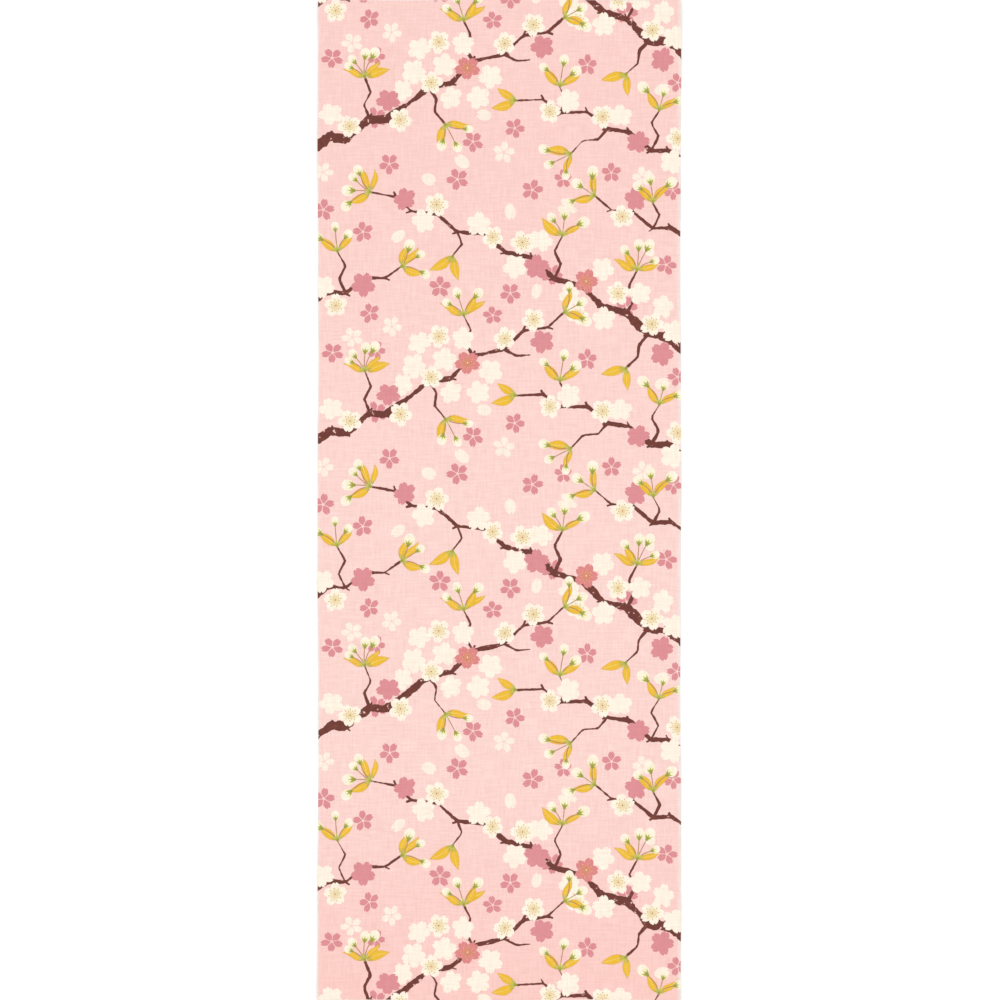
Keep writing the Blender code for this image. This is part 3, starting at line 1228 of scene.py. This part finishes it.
def weave_group():
    """Plain weave with uneven yarns, built once for both materials. Tone is a sum of noises, each drawn
    out along one yarn direction: a fine pair about a yarn wide, and a pair of longer streaks three
    yarns wide, each at a depth of its own in the noise. Height is the product of two sines, which
    stands up where a warp yarn passes over and down where it passes under, with the ridges between
    yarns."""
    built = bpy.data.node_groups.get("plain_weave")
    if built:
        return built
    tree, given, out = new_group(
        "plain_weave", {"Place": "Vector", "Yarn pitch": "Float", "Slub length": "Float"},
        {"Tone": "Float", "Height": "Float"})
    x, y, _ = split(tree, given["Place"])
    pitch, length = wires(tree, given, "Yarn pitch", "Slub length")
    across, along = x / pitch, y / pitch
    slow_x, slow_y = x / length, y / length
    warp = noise(tree, joined(tree, across * YARN_FINENESS, slow_y, 3.0))
    weft = noise(tree, joined(tree, slow_x, along * YARN_FINENESS, 9.0))
    warp_streaks = noise(tree, joined(tree, across * STREAK_FINENESS, slow_y * STREAK_SLOWNESS, 5.0))
    weft_streaks = noise(tree, joined(tree, slow_x * STREAK_SLOWNESS, along * STREAK_FINENESS, 7.0))
    feed(out["Tone"], warp + weft - 1.0 + (warp_streaks + weft_streaks - 1.0) * STREAK_WEIGHT)
    warp_wave = (across * math.pi).math("SINE")
    weft_wave = (along * math.pi).math("SINE")
    ridges = abs(warp_wave).least(abs(weft_wave))
    crossings = warp_wave * weft_wave * CROSSING_HEIGHT
    feed(out["Height"], crossings + ridges * RIDGE_HEIGHT + (warp + weft) * SLUB_HEIGHT)
    return tree


def graded_ground_group(inks):
    """The ground colour: lightest in the middle, a little deeper in the upper half, deepest at the lower
    end."""
    tree, given, out = new_group(
        "graded_ground", {"Place": "Vector", "Half length": "Float"}, {"Colour": "Color"})
    _, y, _ = split(tree, given["Place"])
    upwards = y / Wire(tree, given["Half length"])
    upper_part = (upwards * UPPER_SLOPE).most(0.0).least(1.0) * UPPER_DEPTH
    lower_part = (upwards * -LOWER_SLOPE - LOWER_START).most(0.0).least(1.0)
    feed(out["Colour"], painted(tree, inks.ground, inks.deep_ground, upper_part + lower_part))
    return tree


def selvedge_group():
    """Band is 1 in the dense border of each long side. Bare grows from 0 to 1 over the outermost
    millimetres, where the dye gives out; it reaches farther in on the right."""
    tree, given, out = new_group(
        "selvedge", {"Place": "Vector", "Half width": "Float"}, {"Band": "Float", "Bare": "Float"})
    x, _, _ = split(tree, given["Place"])
    inwards = Wire(tree, given["Half width"]) - abs(x)
    feed(out["Band"], (SELVEDGE_BAND - inwards).shown(MILLIMETRE))
    left_reach, right_reach = BARE_SELVEDGE_REACHES
    reach = x.above(0.0) * (right_reach - left_reach) + left_reach
    feed(out["Bare"], (1.0 - inwards / reach).most(0.0))
    return tree


# Materials

def new_material(name, **settings):
    """A material, its node tree and its Principled shader, with the shader's sockets set by name."""
    material = bpy.data.materials.new(name)
    material.use_nodes = True
    shader = material.node_tree.nodes["Principled BSDF"]
    for label, value in settings.items():
        shader.inputs[label.replace("_", " ")].default_value = value
    return material, material.node_tree, shader.inputs


def cotton_material(cloth, inks, layers):
    """Printed cotton: the ground with its selvedges, then each layer of the print from the lowest up,
    then the tone of the yarns. The back shows the same print, paler."""
    material, tree, looks = new_material(
        "printed_cotton", Specular_IOR_Level=0.25, Sheen_Weight=0.08, Sheen_Roughness=0.5)
    place = uv_socket(tree, "cloth")
    motif_groups = {
        "open": open_blossom_group,
        "boughs": bough_group,
        "full": full_blossom_group,
        "stamened": stamened_blossom_group,
        "leaves": leaf_group,
        "stalks": stalk_group,
        "buds": bud_group,
    }
    # The ground colour, deeper towards both ends and deepest at the lower end
    dye = placed_group(tree, graded_ground_group(inks), Place=place, Half_length=cloth.length / 2)
    edges = placed_group(tree, selvedge_group(), Place=place, Half_width=cloth.width / 2)
    ground = painted(tree, dye["Colour"], BARE_SELVEDGE, edges["Bare"])
    bark = placed_group(tree, bark_group(), Place=place)
    more_inputs = {"boughs": {label: bark[label] for label in ("Swell", "Ragged", "Grain")}}
    colour = ground
    for name, layer in layers.items():
        group = motif_groups[name](inks)
        for level in range(layer.depth):
            spot = corner_socket(tree, f"{name}_{level}")
            laid = placed_group(tree, group, Under=colour, Place=spot, **more_inputs.get(name, {}))
            colour = laid["Colour"]

    yarns = placed_group(
        tree, weave_group(), Place=place, Yarn_pitch=cloth.yarn_pitch, Slub_length=SLUB_LENGTH)
    tone, yarn_height = wires(tree, yarns, "Tone", "Height")
    is_face = split(tree, corner_socket(tree, "cloth_side"))[0]
    colour = painted(tree, ground, colour, is_face * (1 - BACK_SHARE) + BACK_SHARE)
    feed(looks["Base Color"], shaded(tree, colour, tone, cloth.slub))
    feed(looks["Roughness"], tone * ROUGHNESS_CHANGE + CLOTH_ROUGHNESS)
    height = yarn_height + Wire(tree, edges["Band"]) * SELVEDGE_HEIGHT
    bump = tree.nodes.new("ShaderNodeBump")
    bump.inputs["Distance"].default_value = BUMP_DISTANCE
    bump.inputs["Strength"].default_value = BUMP_STRENGTH
    feed(bump.inputs["Height"], height)
    feed(looks["Normal"], bump.outputs[0])
    return material


def raw_yarn_material(inks):
    """The bare warp yarns at the cut ends: the ground's colour with twisted fibres."""
    material, tree, looks = new_material("raw_yarn", Sheen_Weight=0.15)
    coordinates = tree.nodes.new("ShaderNodeTexCoord")
    yarns = placed_group(
        tree, weave_group(), Place=coordinates.outputs["Object"], Yarn_pitch=FIBRE_PITCH,
        Slub_length=FIBRE_LENGTH)
    tone = Wire(tree, yarns["Tone"])
    pale = (tone - PALE_FIBRE_LEVEL).shown(PALE_FIBRE_FADE) * PALE_FIBRE_STRENGTH
    colour = painted(tree, inks.ground, inks.cream, pale)
    feed(looks["Base Color"], shaded(tree, colour, tone, FIBRE_SHARE))
    feed(looks["Roughness"], tone * ROUGHNESS_CHANGE + RAW_YARN_ROUGHNESS)
    return material


class TENUGUI_OT_cloth(Operator):
    """Makes the printed cloth, thin and closed, in place of the plain solid"""

    bl_idname = "tenugui.cloth"
    bl_label = "Lay out cloth"

    def execute(self, context):
        cloth = context.scene.tenugui_cloth
        points, faces, flat = cloth_arrays(cloth)
        piece = new_mesh_object("tenugui_cloth", points, faces)
        mesh = piece.data
        mesh.set_sharp_from_angle(angle=math.radians(RIM_ANGLE_DEG))
        side_faces = TILES_ALONG * TILES_ACROSS
        rim_faces = len(faces) - 2 * side_faces

        flat_corners = np.concatenate((flat, flat))[faces.ravel()]
        write_map(mesh, "cloth", flat_corners)
        write_map(mesh, "OFBake", bake_cells(flat, cloth))
        layers = lay_print(Tiles(cloth.width, cloth.length))
        print_on(mesh, layers, rim_faces)
        sides = np.repeat((1.0, 0.0, 0.5), (side_faces * 4, side_faces * 4, rim_faces * 4))
        write_corner_values(mesh, "cloth_side", np.stack((sides, sides, sides), axis=1))
        mesh.materials.append(cotton_material(cloth, context.scene.tenugui_inks, layers))

        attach(piece, "root")
        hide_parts("towel")
        return {"FINISHED"}


class TENUGUI_OT_raw_ends(Operator):
    """Makes the stubs of warp yarn at the cloth's two cut ends"""

    bl_idname = "tenugui.raw_ends"
    bl_label = "Fray cut ends"

    def execute(self, context):
        cloth = context.scene.tenugui_cloth
        fray = new_mesh_object("raw_ends", *fray_arrays(cloth))
        fray.data.materials.append(raw_yarn_material(context.scene.tenugui_inks))
        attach(fray, "root")
        return {"FINISHED"}


def area_light(name, place, power):
    """A square soft light that faces the middle of the towel."""
    lamp = bpy.data.lights.new(name, "AREA")
    lamp.energy = power
    lamp.size = LIGHT_SIDE
    light = bpy.data.objects.new(name, lamp)
    light.location = place
    light.rotation_euler = (-light.location).to_track_quat("-Z", "Y").to_euler()
    bpy.context.scene.collection.objects.link(light)


class TENUGUI_OT_stage(Operator):
    """Sets the plain pale floor, the soft lights and the camera straight above the towel"""

    bl_idname = "tenugui.stage"
    bl_label = "Set stage"

    def execute(self, context):
        stage = context.scene.tenugui_stage
        corners = np.array(((-1, -1), (1, -1), (1, 1), (-1, 1))) * FLOOR_SIDE / 2
        floor_points = np.column_stack((corners, np.full(4, -FLOOR_DROP)))
        floor = new_mesh_object("floor", floor_points, np.array([[0, 1, 2, 3]]))
        paint, _, _ = new_material(
            "floor_paint", Base_Color=WHITE, Roughness=0.9, Specular_IOR_Level=0.2)
        floor.data.materials.append(paint)

        area_light("key_light", (0.0, LIGHT_BEYOND, LIGHT_HEIGHT), stage.key)
        area_light("fill_light", (0.0, -LIGHT_BEYOND, LIGHT_HEIGHT), stage.fill)
        world = bpy.data.worlds.new("pale_room")
        world.use_nodes = True
        sky = world.node_tree.nodes["Background"]
        sky.inputs["Color"].default_value = WHITE
        sky.inputs["Strength"].default_value = stage.sky
        context.scene.world = world

        eye = bpy.data.cameras.new("photo_camera")
        eye.lens = stage.lens
        camera = bpy.data.objects.new("photo_camera", eye)
        camera.location = (CAMERA_ASIDE, 0.0, stage.frame_side * stage.lens / eye.sensor_width)
        context.scene.collection.objects.link(camera)
        context.scene.camera = camera
        context.scene.view_settings.view_transform = "Standard"
        return {"FINISHED"}


SETTINGS = {
    "tenugui_cloth": TenuguiCloth,
    "tenugui_inks": TenuguiInks,
    "tenugui_stage": TenuguiStage,
}
OPERATORS = (TENUGUI_OT_stage, TENUGUI_OT_cloth, TENUGUI_OT_raw_ends)


class TENUGUI_PT_towel(Panel):
    """The towel's sizes, inks and stage"""

    bl_label = "Tenugui towel"
    bl_space_type = "VIEW_3D"
    bl_region_type = "UI"
    bl_category = "Tenugui"

    def draw(self, context):
        for name, settings in SETTINGS.items():
            box = self.layout.box()
            for label in settings.__annotations__:
                box.prop(getattr(context.scene, name), label)
        for operator in OPERATORS:
            self.layout.operator(operator.bl_idname)


CLASSES = (*SETTINGS.values(), *OPERATORS, TENUGUI_PT_towel)


def register():
    for each in CLASSES:
        bpy.utils.register_class(each)
    for name, settings in SETTINGS.items():
        setattr(bpy.types.Scene, name, PointerProperty(type=settings))


def unregister():
    for name in SETTINGS:
        delattr(bpy.types.Scene, name)
    for each in reversed(CLASSES):
        bpy.utils.unregister_class(each)


def main():
    register()
    bpy.ops.tenugui.stage()
    bpy.ops.tenugui.cloth()
    bpy.ops.tenugui.raw_ends()


if __name__ == "__main__":
    main()
